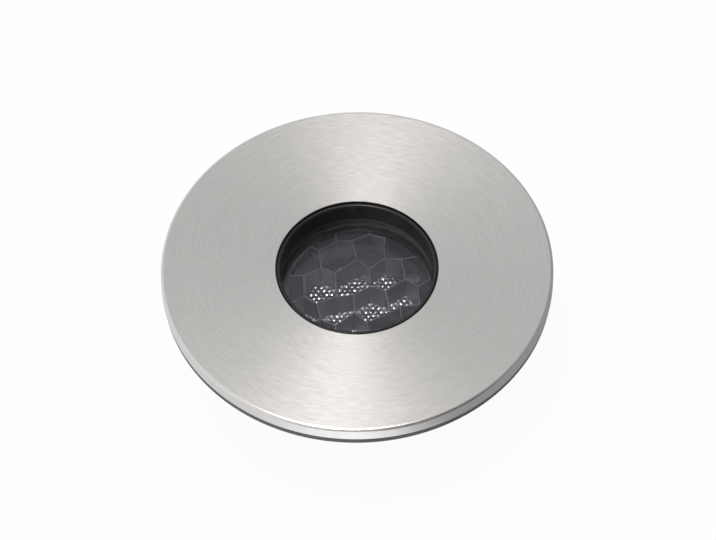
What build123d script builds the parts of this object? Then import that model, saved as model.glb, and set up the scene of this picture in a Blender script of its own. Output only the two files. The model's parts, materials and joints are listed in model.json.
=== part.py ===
"""In ground well light, millimetres.

The origin is on the light's axis in the plane of the finished ground, +Z points up out of the ground and
+Y points to the cable gland. Everything above Z = 0 is trim, everything below it goes into the ground sleeve.
"""
import os
from math import cos, hypot, radians, sin

from build123d import *

os.makedirs("parts", exist_ok=True)

# ---------------------------------------------------------------- driving dimensions
FIT = 0.05  # radial clearance of a turned part in its bore
SKIN = 0.3  # gap between neighbours that don't carry each other

# trim: a drawn stainless cap with a soft ring under its rim
TRIM_R = 60.0
TRIM_HOLE_R = 24.9
TRIM_TOP = 6.9
SHEET = 1.5
TRIM_EDGE_R = 1.1
TRIM_CORNER_R = 0.3  # inside the rim's corner
TRIM_HOLE_EDGE = 0.15
GASKET_TOP = 2.4
GASKET_R = (50.0, 59.7)
STUD_R = 1.5
STUD_CIRCLE_R = 43.5
STUD_HEAD = (2.6, 0.5)  # radius and height of the welded foot of a stud
GROMMET_R = 2.9
STUD_ANGLES = (90, 210, 330)

# housing: the flange with its glass seat, and the canister that hangs from it
FLANGE_R = 49.5
FLANGE_TOP = TRIM_TOP - SHEET
BODY_TOP_R = 35.3
BODY_FOOT_R = 34.4
BODY_FOOT = -29.4
CHAMBER_R = 33.0
CHAMBER_TOP = -9.4
BOSS_R = 2.9

# window stack, from the top down
BEZEL_BORE_R = 23.4
BEZEL_COLLAR_R = 24.5
BEZEL_COLLAR_TOP = 6.5
BEZEL_FLANGE_R = 33.2
BEZEL_FLANGE = (3.2, 5.2)
BEZEL_SKIRT_R = 27.0
BEZEL_FOOT = -0.2
BEZEL_EDGE = 0.25
BEZEL_LIP_R = 0.6  # the rounding towards the glass
GLASS_R = 26.5
GLASS = (-6.0, -1.0)
GLASS_EDGE = 0.5
WINDOW_GASKET_BORE_R = 23.8
SEAT = -7.0
POCKET_R = 27.2
SLEEVE_R = (23.5, 25.0)
SLEEVE_FOOT = -15.9
BEZEL_SCREW_CIRCLE_R = 30.2
BEZEL_SCREWS = 6

# honeycomb louvre: it lies loose in its sleeve, against one side
LOUVRE_R = 22.6
LOUVRE_BORE_R = 22.0
LOUVRE = (-16.3, -6.3)
LOUVRE_SHIFT = 0.7
CELL_ROW = Vector(10.04, 1.75)  # from one cell to the next along a row
CELL_STEP = Vector(-0.10, -9.96)  # two neighbouring rows are this far apart, with a half cell's shift
CELL_UPRIGHT = 7.22  # length of a cell's upright walls
CELL_UPRIGHT_TILT = 94.2  # degrees from the +X axis
CELL_START = Vector(-11.21, 11.90)  # middle of one upright wall, from the light's axis
CELL_WALL = 0.4

# optic and light source
HOLDER_R = 23.2
HOLDER_TOP = -16.3
HOLDER_FLANGE = 2.5
HOLDER_BARREL_R = 18.7
HOLDER_BARREL_FOOT = -23.4
HOLDER_POST_R = 2.4
HOLDER_SCREW_R = 20.6
HOLDER_SCREW_ANGLES = (31, 151, 271)
LENS_BORE_R = 17.5
LENS_R = 17.35
LENS_TOP = -16.6
LENS_DISC = 1.5
LENS_FOOT = -25.7
CONE_OFFSET = 7.35
CONE_R = (6.85, 3.4)
CONE_POCKET_R = 2.3
CONE_POCKET_TOP = -22.2
LENS_LEG_R = 1.2
LENS_LEG_CIRCLE_R = 13.5
BOARD_R = 23.0
BOARD = (-27.7, -26.5)
PAD_R = 22.8
PEDESTAL_TOP = -28.0
CHIP_SIDE = 3.4
CHIP_BASE = 0.7
CHIP_DOME_R = 1.35

# base with its fins
BASE = (-34.2, -30.2)
BASE_FOOT_R = 33.4
PEDESTAL_R = 23.4
FOOT = -43.9
FOOT_R = 26.3
FIN_TOP_R = 33.0
FINS = 16
FIN_THICKNESS = 1.8
CORE_R = 11.0  # to the middle of a flat; the core has one flat for each fin
BASE_SCREW_CIRCLE_R = 30.0
BASE_SCREW_ANGLES = (45, 135, 225, 315)
BASE_GASKET_R = 32.0

# cable gland on the +Y side
GLAND_Z = -19.0
GLAND_BOSS_R = 9.4
GLAND_BOSS = (33.2, 37.5)
GLAND_INNER_END = 31.5
GLAND_THREAD_R = 6.0
GLAND_HEX = 15.0  # across flats
GLAND_WASHER = 1.0
GLAND_HEX_LENGTH = 4.0
GLAND_NECK_END = 49.5
GLAND_BORE_R = 4.5
CABLE_R = 3.1
SEAL = (43.0, 51.0)
NUT = (43.0, 54.5)
NUT_HEX_END = 50.5
NUT_MOUTH_R = 3.7

# spring clips
CLIP_ANGLES = (30, 150, 270)
CLIP_PAD_R = 36.2
CLIP_PAD = (-20.5, -6.0)
CLIP_PAD_WIDTH = 13.0
STRIP = 0.8
STRIP_WIDTH = 10.0
CLIP_FOOT = -19.5
CLIP_BEND_Z = -5.0
CLIP_BEND_R = 1.6  # to the middle of the strip
CLIP_BEND_END = 12.0  # degrees short of a full half turn
CLIP_BULGE_Z = -20.0
CLIP_TIP = (-2.2, -5.3)  # from the bulge to the tip, outwards and up
CLIP_BULGE_R = 1.6
CLIP_SCREW_Z = (-9.8, -15.6)

# terminal block and leads
BLOCK = (12.4, 6.4, 8.6)
BLOCK_Y = 27.6
LEAD_R = 0.65
LEAD_X = 2.9
LEAD_RISE = 2.4
LEAD_REACH = 3.6

NODES = {}


# ---------------------------------------------------------------- helpers
def turned(*points):
    """A solid turned about Z from (radius, height) points."""
    return revolve(Plane.XZ * make_face(Polyline(*points, close=True)), Axis.Z)


def ring(outer, inner, low, high):
    return Pos(0, 0, low) * extrude(Circle(outer) - Circle(inner), high - low)


def rod(radius, low, high):
    return Pos(0, 0, low) * extrude(Circle(radius), high - low)


def polar(radius, angle, z=0.0):
    """The place at a radius and an angle round the light's axis."""
    return Pos(radius * cos(radians(angle)), radius * sin(radians(angle)), z)


def along_y(shape, z):
    """Lays a shape that was made along +Z along +Y instead, at height z."""
    return Pos(0, 0, z) * Rot(-90, 0, 0) * shape


def edges_at(shape, radius, z):
    """The round edges of one radius about the axis at one height."""
    return [
        edge
        for edge in shape.edges().filter_by(GeomType.CIRCLE)
        if abs(edge.radius - radius) < 1e-3 and abs(edge.center().Z - z) < 1e-3
    ]


def screw(shank_r, length, head_r, head_height, drive):
    """A pan head screw with a hex drive; its head stands on Z = 0 and its shank goes down."""
    head = rod(head_r, 0, head_height)
    head = fillet(edges_at(head, head_r, head_height), head_height * 0.4)
    socket = Pos(0, 0, head_height * 0.4) * extrude(RegularPolygon(drive / 2, 6), head_height)
    shank = rod(shank_r, -length, 0)
    shank = chamfer(edges_at(shank, shank_r, -length), shank_r * 0.3)
    return head + shank - socket


def group(solids):
    """Several separate solids as one shape."""
    return Compound(children=[part.solid() for part in solids])


def keep(name, shape):
    NODES[name] = shape


# ---------------------------------------------------------------- trim
def make_trim():
    rim_r = TRIM_R - SHEET
    cap = turned(
        (rim_r, GASKET_TOP),
        (TRIM_R, GASKET_TOP),
        (TRIM_R, TRIM_TOP),
        (TRIM_HOLE_R, TRIM_TOP),
        (TRIM_HOLE_R, FLANGE_TOP),
        (rim_r, FLANGE_TOP),
    )
    cap = fillet(edges_at(cap, TRIM_R, TRIM_TOP), TRIM_EDGE_R)
    cap = fillet(edges_at(cap, rim_r, FLANGE_TOP), TRIM_CORNER_R)
    cap = chamfer(edges_at(cap, TRIM_HOLE_R, TRIM_TOP), TRIM_HOLE_EDGE)
    keep("trim_cover", cap)

    # the ring is as tall as the gap under the rim, and a rib of it stands up inside the rim
    rib = (rim_r - 2.6, rim_r - 0.8)
    gasket = ring(GASKET_R[1], GASKET_R[0], 0, GASKET_TOP)
    gasket += ring(rib[1], rib[0], GASKET_TOP, FLANGE_TOP)
    keep("flange_gasket", gasket)

    foot_r, foot_height = STUD_HEAD
    studs = []
    for angle in STUD_ANGLES:
        stud = rod(STUD_R, 0.4, FLANGE_TOP) + rod(foot_r, FLANGE_TOP - foot_height, FLANGE_TOP)
        stud = chamfer(edges_at(stud, STUD_R, 0.4), 0.4)
        studs.append(polar(STUD_CIRCLE_R, angle) * stud)
    keep("trim_studs", group(studs))

    grommet = ring(GROMMET_R, STUD_R + FIT, 0.2, FLANGE_TOP - foot_height - 0.1)
    grommet = chamfer(edges_at(grommet, GROMMET_R, 0.2), 0.3)
    keep("stud_grommets", group([polar(STUD_CIRCLE_R, a) * grommet for a in STUD_ANGLES]))


# ---------------------------------------------------------------- housing
def make_housing():
    counterbore_r = BEZEL_FLANGE_R + 0.2
    spigot_r = CHAMBER_R - FIT
    sleeve_bore_r = SLEEVE_R[1] + FIT
    body = turned(
        (sleeve_bore_r, SEAT),
        (POCKET_R, SEAT),
        (POCKET_R, BEZEL_FLANGE[0]),
        (counterbore_r, BEZEL_FLANGE[0]),
        (counterbore_r, FLANGE_TOP),
        (FLANGE_R, FLANGE_TOP),
        (FLANGE_R, 0),
        (spigot_r, 0),
        (spigot_r, CHAMBER_TOP),
        (sleeve_bore_r, CHAMBER_TOP),
    )
    body = chamfer(edges_at(body, FLANGE_R, FLANGE_TOP), 0.5)
    bezel_hole = rod(1.25, SEAT - 0.4, BEZEL_FLANGE[0])
    for n in range(BEZEL_SCREWS):
        body -= polar(BEZEL_SCREW_CIRCLE_R, bezel_screw_angle(n)) * bezel_hole
    for angle in STUD_ANGLES:
        body -= polar(STUD_CIRCLE_R, angle) * rod(GROMMET_R + FIT, -1, FLANGE_TOP + 1)
    keep("housing", body)
    keep("louvre_sleeve", ring(SLEEVE_R[1], SLEEVE_R[0], SLEEVE_FOOT, SEAT))


def make_canister():
    can = turned((CHAMBER_R, 0), (BODY_TOP_R, 0), (BODY_FOOT_R, BODY_FOOT), (CHAMBER_R, BODY_FOOT))

    # bosses for the base screws, cast into the wall
    bite = 0.5  # how deep the bosses and pads are sunk into the wall
    web_end = CHAMBER_R + bite - BASE_SCREW_CIRCLE_R
    for angle in BASE_SCREW_ANGLES:
        boss = rod(BOSS_R, BODY_FOOT, CHAMBER_TOP)
        web = Pos(web_end / 2, 0, (BODY_FOOT + CHAMBER_TOP) / 2) * Box(
            web_end, 2 * BOSS_R, CHAMBER_TOP - BODY_FOOT
        )
        can += polar(BASE_SCREW_CIRCLE_R, angle) * Rot(0, 0, angle) * (boss + web)

    # flat pads under the spring clips
    pad_height = CLIP_PAD[1] - CLIP_PAD[0]
    pad_depth = CLIP_PAD_R - CHAMBER_R - bite
    for angle in CLIP_ANGLES:
        pad = Box(pad_depth, CLIP_PAD_WIDTH, pad_height)
        pad = fillet(pad.edges().filter_by(Axis.X).sort_by(Axis.Z)[-2:], 1.5)
        middle = CLIP_PAD_R - pad_depth / 2
        can += Rot(0, 0, angle) * Pos(middle, 0, sum(CLIP_PAD) / 2) * pad

    # round boss for the cable gland
    boss = rod(GLAND_BOSS_R, *GLAND_BOSS)
    boss = chamfer(edges_at(boss, GLAND_BOSS_R, GLAND_BOSS[1]), 0.6)
    can += along_y(boss, GLAND_Z)
    can -= along_y(rod(GLAND_THREAD_R, GLAND_INNER_END, GLAND_BOSS[1] + 1), GLAND_Z)

    # tapped holes, all blind
    base_hole = rod(1.25, BODY_FOOT, BODY_FOOT + 12)
    for angle in BASE_SCREW_ANGLES:
        can -= polar(BASE_SCREW_CIRCLE_R, angle) * base_hole
    clip_hole = rod(1.0, CHAMBER_R + 0.8, CLIP_PAD_R)
    for angle in CLIP_ANGLES:
        for z in CLIP_SCREW_Z:
            can -= Rot(0, 0, angle) * Pos(0, 0, z) * Rot(0, 90, 0) * clip_hole
    keep("canister", can)


def bezel_screw_angle(n):
    return 15 + n * 360 / BEZEL_SCREWS


# ---------------------------------------------------------------- window
def make_window():
    bezel = turned(
        (BEZEL_BORE_R, BEZEL_FOOT),
        (BEZEL_SKIRT_R, BEZEL_FOOT),
        (BEZEL_SKIRT_R, BEZEL_FLANGE[0]),
        (BEZEL_FLANGE_R, BEZEL_FLANGE[0]),
        (BEZEL_FLANGE_R, BEZEL_FLANGE[1]),
        (BEZEL_COLLAR_R, BEZEL_FLANGE[1]),
        (BEZEL_COLLAR_R, BEZEL_COLLAR_TOP),
        (BEZEL_BORE_R, BEZEL_COLLAR_TOP),
    )
    bezel = fillet(edges_at(bezel, BEZEL_BORE_R, BEZEL_COLLAR_TOP), BEZEL_LIP_R)
    bezel = fillet(edges_at(bezel, BEZEL_COLLAR_R, BEZEL_COLLAR_TOP), BEZEL_EDGE)
    head_r, head_height, sink = 2.7, 1.5, 1.4
    screws = []
    for n in range(BEZEL_SCREWS):
        place = polar(BEZEL_SCREW_CIRCLE_R, bezel_screw_angle(n))
        bezel -= place * rod(1.6, BEZEL_FOOT, BEZEL_FLANGE[1])
        bezel -= place * rod(head_r + 0.15, BEZEL_FLANGE[1] - sink, BEZEL_FLANGE[1])
        low = BEZEL_FLANGE[1] - sink
        screws.append(place * Pos(0, 0, low) * screw(1.2, 8.0, head_r, head_height, 2.0))
    keep("glass_bezel", bezel)
    keep("bezel_screws", group(screws))

    pane = rod(GLASS_R, *GLASS)
    for z in GLASS:
        pane = chamfer(edges_at(pane, GLASS_R, z), GLASS_EDGE)
    keep("glass_pane", pane)
    outer = POCKET_R - 0.2
    keep("glass_upper_gasket", ring(outer, BEZEL_BORE_R + 0.1, GLASS[1], BEZEL_FOOT))
    keep("glass_lower_gasket", ring(outer, WINDOW_GASKET_BORE_R, SEAT, GLASS[0]))


# ---------------------------------------------------------------- louvre
def louvre_cells():
    """Outlines of the louvre's openings: six-sided cells on a skewed lattice, each drawn in by half a wall."""
    tilt = radians(CELL_UPRIGHT_TILT)
    half = Vector(cos(tilt), sin(tilt)) * (CELL_UPRIGHT / 2)
    reach = 4
    cells = []
    for row in range(-reach, reach + 1):
        for column in range(-reach, reach + 1):
            start = CELL_START + CELL_ROW * (column + 0.5 * (row % 2)) + CELL_STEP * row
            peak = start + CELL_ROW * 0.5 - CELL_STEP - half
            foot = start + CELL_ROW * 0.5 + CELL_STEP + half
            far = start + CELL_ROW
            corners = [start - half, start + half, peak, far + half, far - half, foot]
            middle = (start + far) * 0.5
            if hypot(middle.X, middle.Y) < LOUVRE_R + CELL_UPRIGHT:
                cell = make_face(Polyline(*corners, close=True))
                cells.append(offset(cell, amount=-CELL_WALL / 2, kind=Kind.INTERSECTION))
    return cells


def make_louvre():
    place = Pos(LOUVRE_SHIFT, 0, 0)
    keep("louvre_ring", place * ring(LOUVRE_R, LOUVRE_BORE_R, *LOUVRE))
    web = place * Circle(LOUVRE_BORE_R - 0.02)
    for cell in louvre_cells():
        web -= cell
    walls = [face for face in web.faces() if face.area > 5.0]
    depth = LOUVRE[1] - LOUVRE[0]
    core = [Pos(0, 0, LOUVRE[0]) * extrude(face, depth) for face in walls]
    keep("honeycomb_core", group(core))


# ---------------------------------------------------------------- optic
def cone_places():
    return [Pos(x * CONE_OFFSET, y * CONE_OFFSET, 0) for x in (-1, 1) for y in (-1, 1)]


def make_optic():
    flange_foot = HOLDER_TOP - HOLDER_FLANGE
    holder = ring(HOLDER_R, LENS_BORE_R, flange_foot, HOLDER_TOP)
    holder += ring(HOLDER_BARREL_R, LENS_BORE_R, HOLDER_BARREL_FOOT, flange_foot)
    head_r, head_height = 1.9, 1.2
    head_low = HOLDER_TOP - head_height - 0.1
    screws = []
    board_holes = []
    for angle in HOLDER_SCREW_ANGLES:
        place = polar(HOLDER_SCREW_R, angle)
        holder += place * rod(HOLDER_POST_R, BOARD[1], flange_foot)
    holder -= rod(LENS_BORE_R, BOARD[1] - 1, HOLDER_TOP + 1)
    for angle in HOLDER_SCREW_ANGLES:
        place = polar(HOLDER_SCREW_R, angle)
        holder -= place * rod(1.35, BOARD[1], HOLDER_TOP)
        holder -= place * rod(head_r + 0.15, head_low, HOLDER_TOP)
        shank = head_low - PEDESTAL_TOP + 3.5
        screws.append(place * Pos(0, 0, head_low) * screw(1.0, shank, head_r, head_height, 1.5))
        board_holes.append(place * rod(1.2, PEDESTAL_TOP - 1, BOARD[1] + 1))
    keep("lens_holder", holder)
    keep("lens_screws", group(screws))

    disc_foot = LENS_TOP - LENS_DISC
    lens = rod(LENS_R, disc_foot, LENS_TOP)
    for place in cone_places():
        height = disc_foot - LENS_FOOT
        cone = Pos(0, 0, LENS_FOOT + height / 2) * Cone(CONE_R[1], CONE_R[0], height)
        lens += place * cone
    for place in cone_places():
        lens -= place * rod(CONE_POCKET_R, LENS_FOOT, CONE_POCKET_TOP)
    for angle in range(0, 360, 90):
        lens += polar(LENS_LEG_CIRCLE_R, angle) * rod(LENS_LEG_R, BOARD[1], disc_foot)
    keep("quad_lens", lens)

    chip = Pos(0, 0, BOARD[1] + CHIP_BASE / 2) * Box(CHIP_SIDE, CHIP_SIDE, CHIP_BASE)
    dome = Pos(0, 0, BOARD[1] + CHIP_BASE) * Sphere(CHIP_DOME_R, arc_size1=0)
    keep("led_packages", group([place * (chip + dome) for place in cone_places()]))

    board = rod(BOARD_R, *BOARD)
    pad = rod(PAD_R, PEDESTAL_TOP, BOARD[0])
    for hole in board_holes:
        board -= hole
        pad -= hole
    keep("led_board", board)
    keep("thermal_pad", pad)


# ---------------------------------------------------------------- base
def make_base():
    height = BASE[0] - FOOT
    plate = turned((0, BASE[0]), (BASE_FOOT_R, BASE[0]), (BODY_FOOT_R, BASE[1]), (0, BASE[1]))
    base = plate + rod(PEDESTAL_R, BASE[1], PEDESTAL_TOP)
    half_turn = 180 / FINS
    core_corner_r = CORE_R / cos(radians(half_turn))
    base += Pos(0, 0, FOOT) * extrude(RegularPolygon(core_corner_r, FINS), height)
    length = FIN_TOP_R - CORE_R
    fin = Pos(CORE_R + length / 2, 0, (FOOT + BASE[0]) / 2) * Box(length, FIN_THICKNESS, height)
    fin &= Pos(0, 0, (FOOT + BASE[0]) / 2) * Cone(FOOT_R, FIN_TOP_R, height)
    fins = [Rot(0, 0, (2 * n + 1) * half_turn) * fin for n in range(FINS)]
    screws = []
    for angle in BASE_SCREW_ANGLES:
        place = polar(BASE_SCREW_CIRCLE_R, angle)
        base -= place * rod(1.6, *BASE)
        screws.append(place * Pos(0, 0, BASE[0]) * Rot(180, 0, 0) * screw(1.2, 14.0, 2.7, 1.6, 2.0))
    for angle in HOLDER_SCREW_ANGLES:
        base -= polar(HOLDER_SCREW_R, angle) * rod(1.05, PEDESTAL_TOP - 4.2, PEDESTAL_TOP)
    keep("base_plate", base)
    keep("cooling_fins", group(fins))
    keep("base_screws", group(screws))

    gasket = ring(BODY_FOOT_R - 0.2, BASE_GASKET_R, BASE[1], BODY_FOOT)
    for angle in BASE_SCREW_ANGLES:
        gasket += polar(BASE_SCREW_CIRCLE_R, angle) * rod(BOSS_R, BASE[1], BODY_FOOT)
    for angle in BASE_SCREW_ANGLES:
        gasket -= polar(BASE_SCREW_CIRCLE_R, angle) * rod(1.6, BASE[1] - 1, BODY_FOOT + 1)
    keep("base_gasket", gasket)


# ---------------------------------------------------------------- cable gland
def hexagon(low, high):
    """A hexagonal prism with its corners turned off at both ends."""
    corner_r = GLAND_HEX / 2 / cos(radians(30))
    prism = Pos(0, 0, low) * extrude(RegularPolygon(corner_r, 6), high - low)
    bevel = corner_r - GLAND_HEX / 2 + 0.1
    turned_off = rod(corner_r, low, high)
    for z in (low, high):
        turned_off = chamfer(edges_at(turned_off, corner_r, z), bevel * 0.5, bevel)
    return prism & turned_off


def make_gland():
    washer_end = GLAND_BOSS[1] + GLAND_WASHER
    hex_end = washer_end + GLAND_HEX_LENGTH
    body = rod(GLAND_THREAD_R - FIT, GLAND_INNER_END, washer_end) + hexagon(washer_end, hex_end)
    body += rod(GLAND_THREAD_R - FIT, hex_end, GLAND_NECK_END)
    body -= rod(GLAND_BORE_R, GLAND_INNER_END - 1, GLAND_NECK_END + 1)
    keep("gland_body", along_y(body, GLAND_Z))
    washer = ring(GLAND_HEX / 2 + 0.3, GLAND_THREAD_R + FIT, GLAND_BOSS[1], washer_end)
    keep("gland_washer", along_y(washer, GLAND_Z))
    seal = ring(GLAND_BORE_R - FIT, CABLE_R, *SEAL)
    keep("gland_seal", along_y(seal, GLAND_Z))

    nut_r = GLAND_HEX / 2
    outside = turned(
        (0, NUT_HEX_END),
        (nut_r, NUT_HEX_END),
        (nut_r - 0.6, NUT_HEX_END + 1.6),
        (NUT_MOUTH_R + 2.0, NUT[1] - 0.6),
        (NUT_MOUTH_R + 1.2, NUT[1]),
        (0, NUT[1]),
    )
    nut = hexagon(NUT[0], NUT_HEX_END) + outside
    nut -= rod(GLAND_THREAD_R, NUT[0] - 1, GLAND_NECK_END + 0.4)
    cone_end = NUT[1] - 1.2
    inside = turned(
        (0, GLAND_NECK_END + 0.4),
        (GLAND_THREAD_R, GLAND_NECK_END + 0.4),
        (GLAND_BORE_R + SKIN, SEAL[1] + SKIN),
        (NUT_MOUTH_R, cone_end),
        (NUT_MOUTH_R, NUT[1] + 1),
        (0, NUT[1] + 1),
    )
    nut -= inside
    keep("gland_nut", along_y(nut, GLAND_Z))


# ---------------------------------------------------------------- spring clips
def strip_along(path):
    """Bends the clip's flat strip along a path in the XZ plane."""
    start = Plane(path @ 0, x_dir=(0, 1, 0), z_dir=path % 0)
    return sweep(start * Rectangle(STRIP_WIDTH, STRIP), path=path)


def in_radial_plane(*points):
    return [Vector(radius, 0, height) for radius, height in points]


def make_clips():
    strip_r = CLIP_PAD_R + STRIP / 2
    bend_r = strip_r + CLIP_BEND_R
    bend = Plane(origin=(bend_r, 0, CLIP_BEND_Z), x_dir=(1, 0, 0), z_dir=(0, -1, 0))

    rise = Line(*in_radial_plane((strip_r, CLIP_FOOT), (strip_r, CLIP_BEND_Z)))
    quarter = bend * CenterArc((0, 0), CLIP_BEND_R, 180, -90)
    foot = strip_along(Wire([rise.edge(), quarter.edge()]))
    for z in CLIP_SCREW_Z:
        foot -= Pos(CLIP_PAD_R - 1, 0, z) * Rot(0, 90, 0) * rod(1.3, 0, STRIP + 2)
    foot = fillet(foot.edges().filter_by(Axis.X).sort_by(Axis.Z)[:2], 2.0)
    head = screw(0.95, STRIP + 2.2, 2.1, 1.2, 1.5)

    end = radians(CLIP_BEND_END)
    leave = (bend_r + CLIP_BEND_R * cos(end), CLIP_BEND_Z + CLIP_BEND_R * sin(end))
    run = (leave[1] - CLIP_BULGE_Z) / cos(end)
    bulge = (leave[0] + run * sin(end), CLIP_BULGE_Z)
    tip = (bulge[0] + CLIP_TIP[0], bulge[1] + CLIP_TIP[1])
    over = bend * CenterArc((0, 0), CLIP_BEND_R, 90, CLIP_BEND_END - 90)
    arm_line = FilletPolyline(*in_radial_plane(leave, bulge, tip), radius=CLIP_BULGE_R)
    arm = strip_along(Wire([over.edge()] + list(arm_line.edges())))
    arm = fillet(arm.edges().filter_by(lambda e: e.center().Z < tip[1] + 0.5 and e.length < 1), 2.0)

    feet = []
    screws = []
    for number, angle in enumerate(CLIP_ANGLES, 1):
        turn = Rot(0, 0, angle)
        feet.append(turn * foot)
        for z in CLIP_SCREW_Z:
            screws.append(turn * Pos(CLIP_PAD_R + STRIP, 0, z) * Rot(0, 90, 0) * head)
        keep(f"clip_arm_{number}", turn * arm)
    keep("clip_feet", group(feet))
    keep("clip_screws", group(screws))
    print(f"clip hinge at radius {bend_r:.2f}, height {CLIP_BEND_Z:.2f}")
    print(f"clip bulge at radius {bulge[0] + STRIP / 2:.2f}")


# ---------------------------------------------------------------- wiring
def make_wiring():
    width, depth, height = BLOCK
    block = Pos(0, BLOCK_Y, BASE[1] + height / 2) * Box(width, depth, height)
    block = fillet(block.edges().filter_by(Axis.Z), 0.6)
    screws = []
    top = BASE[1] + height
    screw_foot = top - 1.7
    start = Vector(0, BLOCK_Y - depth / 2, BOARD[1] + LEAD_RISE)
    for x in (-LEAD_X, LEAD_X):
        block -= Pos(x, BLOCK_Y, screw_foot) * rod(1.8, 0, 3)
        wire_hole = Rot(90, 0, 0) * extrude(Circle(1.4), depth + 2, both=True)
        block -= Pos(x, BLOCK_Y, start.Z) * wire_hole
        screws.append(Pos(x, BLOCK_Y, screw_foot) * rod(1.6, 0, 1.6))
    block -= Pos(0, BLOCK_Y, top) * Box(0.8, depth + 2, 3.0)
    slot = Pos(0, BLOCK_Y, screw_foot + 1.6) * Box(2 * LEAD_X + 2.6, 0.5, 1.2)
    keep("terminal_block", block)
    keep("terminal_screws", group([item - slot for item in screws]))

    for name, x in (("lead_red", -LEAD_X), ("lead_black", LEAD_X)):
        inner = start + Vector(x, depth - 1.0, 0)
        corner = start + Vector(x, -LEAD_REACH, 0)
        foot = corner - Vector(0, 0, LEAD_RISE)
        bend_r = LEAD_RISE * 0.7
        path = FilletPolyline(inner, corner, foot, radius=bend_r)
        lead = sweep(Plane(path @ 0, z_dir=path % 0) * Circle(LEAD_R), path=path)
        keep(name, lead)
        print(f"{name}: length {path.length:.2f}, bend radius {bend_r:.2f}")


make_trim()
make_housing()
make_canister()
make_window()
make_louvre()
make_optic()
make_base()
make_gland()
make_clips()
make_wiring()

for node_name, node_shape in NODES.items():
    export_step(node_shape, f"parts/{node_name}.step")
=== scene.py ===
"""In ground well light: looks, camera and studio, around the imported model.

Blender's units are metres; the sizes named here are millimetres.
"""
import json
from math import cos, hypot, inf, pi, radians, sin, sqrt

import bmesh
import bpy
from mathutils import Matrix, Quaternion, Vector
from mathutils.geometry import delaunay_2d_cdt
from mathutils.kdtree import KDTree


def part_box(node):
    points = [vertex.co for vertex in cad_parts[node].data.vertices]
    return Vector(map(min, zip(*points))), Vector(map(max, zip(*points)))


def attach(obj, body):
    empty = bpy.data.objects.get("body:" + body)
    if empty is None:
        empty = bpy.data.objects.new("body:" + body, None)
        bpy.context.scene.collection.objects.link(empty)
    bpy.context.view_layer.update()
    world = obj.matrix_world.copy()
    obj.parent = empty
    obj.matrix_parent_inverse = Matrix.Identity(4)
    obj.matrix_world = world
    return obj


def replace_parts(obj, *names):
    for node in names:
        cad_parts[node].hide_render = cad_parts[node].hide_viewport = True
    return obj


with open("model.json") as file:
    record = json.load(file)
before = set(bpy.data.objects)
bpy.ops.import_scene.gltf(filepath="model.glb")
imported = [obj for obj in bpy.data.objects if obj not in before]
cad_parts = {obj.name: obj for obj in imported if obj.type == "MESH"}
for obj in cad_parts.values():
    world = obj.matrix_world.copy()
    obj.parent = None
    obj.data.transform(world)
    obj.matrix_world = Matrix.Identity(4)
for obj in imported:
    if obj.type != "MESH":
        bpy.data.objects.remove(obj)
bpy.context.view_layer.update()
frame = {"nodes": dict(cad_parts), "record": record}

NODES = frame["nodes"]
MM = 0.001

# ---------------------------------------------------------------- sizes, in millimetres
TRIM_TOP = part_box("trim_cover")[1].z / MM
TRIM_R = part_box("trim_cover")[1].x / MM
TRIM_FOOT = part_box("trim_cover")[0].z / MM
TRIM_BORE_R = 24.9
TRIM_SHEET = 1.5
TRIM_EDGE_R = 1.1
TRIM_CORNER_R = 0.3
TRIM_BORE_EDGE = 0.15
TRIM_STRIP = 0.1  # a narrow strip beside each rounding, which keeps the shading of the flat faces flat
TRIM_SIDES = 480
EDGE_STEPS = 18
CORNER_STEPS = 6
FLOOR_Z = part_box("cooling_fins")[0].z / MM
LOUVRE_LOW, LOUVRE_HIGH = (corner.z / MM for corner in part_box("louvre_ring"))
LOUVRE_SHIFT = (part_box("louvre_ring")[0].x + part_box("louvre_ring")[1].x) / 2 / MM
LOUVRE_BORE_R = 22.0
LOUVRE_PLAY = 0.02
LOUVRE_SIDES = 96
CELL_ROW = Vector((10.04, 1.75))
CELL_STEP = Vector((-0.10, -9.96))
CELL_UPRIGHT = 7.22
CELL_UPRIGHT_TILT = 94.2
CELL_START = Vector((-11.21, 11.90))
CELL_REACH = range(-4, 5)  # the rows and columns of cells that can lie inside the ring
CELL_WALL = 0.36
CELL_EDGE = 0.12  # how far a wall's top edge is rounded off
CELL_EDGE_BEND = 0.3  # where the rounding's two flats meet, as a share of it
CELL_MARGIN = 0.15  # the least wall between a cell and the ring
CELL_LEAST_AREA = 1.5  # smaller corners of cells stay closed, in square millimetres
JOINT_SPAN = 0.6
JOINTS = (  # where the folded strips pull the louvre's joints off their lattice: place, and how far
    ((-0.9, 10.0), (1.1, 0.7)),
    ((3.5, 8.2), (0.5, -0.8)),
    ((9.1, 11.8), (-0.6, -0.7)),
    ((13.5, 9.9), (0.1, 0.8)),
    ((14.1, 2.7), (0.9, 0.5)),
    ((18.4, 0.8), (0.2, -0.7)),
    ((19.2, 13.5), (0.0, -1.8)),
    ((-21.0, 6.5), (-0.9, -1.3)),
    ((-16.6, 4.7), (0.2, 0.4)),
    ((-11.7, -4.4), (-1.0, -1.0)),
    ((-6.0, -0.8), (-0.2, -2.1)),
    ((-1.6, -2.7), (0.5, 0.3)),
    ((4.0, 1.0), (-0.1, -0.3)),
    ((8.4, -0.9), (0.2, -0.2)),
    ((8.9, -8.1), (1.0, -1.3)),
    ((3.3, -11.8), (-0.5, -1.0)),
    ((-1.1, -9.9), (0.1, 0.8)),
    ((-6.8, -13.5), (-0.3, -0.3)),
    ((13.3, -10.0), (-0.3, 3.0)),
    ((-5.8, 19.1), (-0.5, -1.2)),
    ((-1.4, 17.3), (-0.1, 0.7)),
    ((4.2, 20.9), (0.0, -0.4)),
    ((-11.5, 15.5), (-0.2, -0.9)),
    ((-10.9, 8.3), (-0.2, -0.3)),
    ((-6.6, 6.4), (-0.3, -0.4)),
    ((-16.1, -2.5), (-0.4, 0.1)),
)
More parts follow.
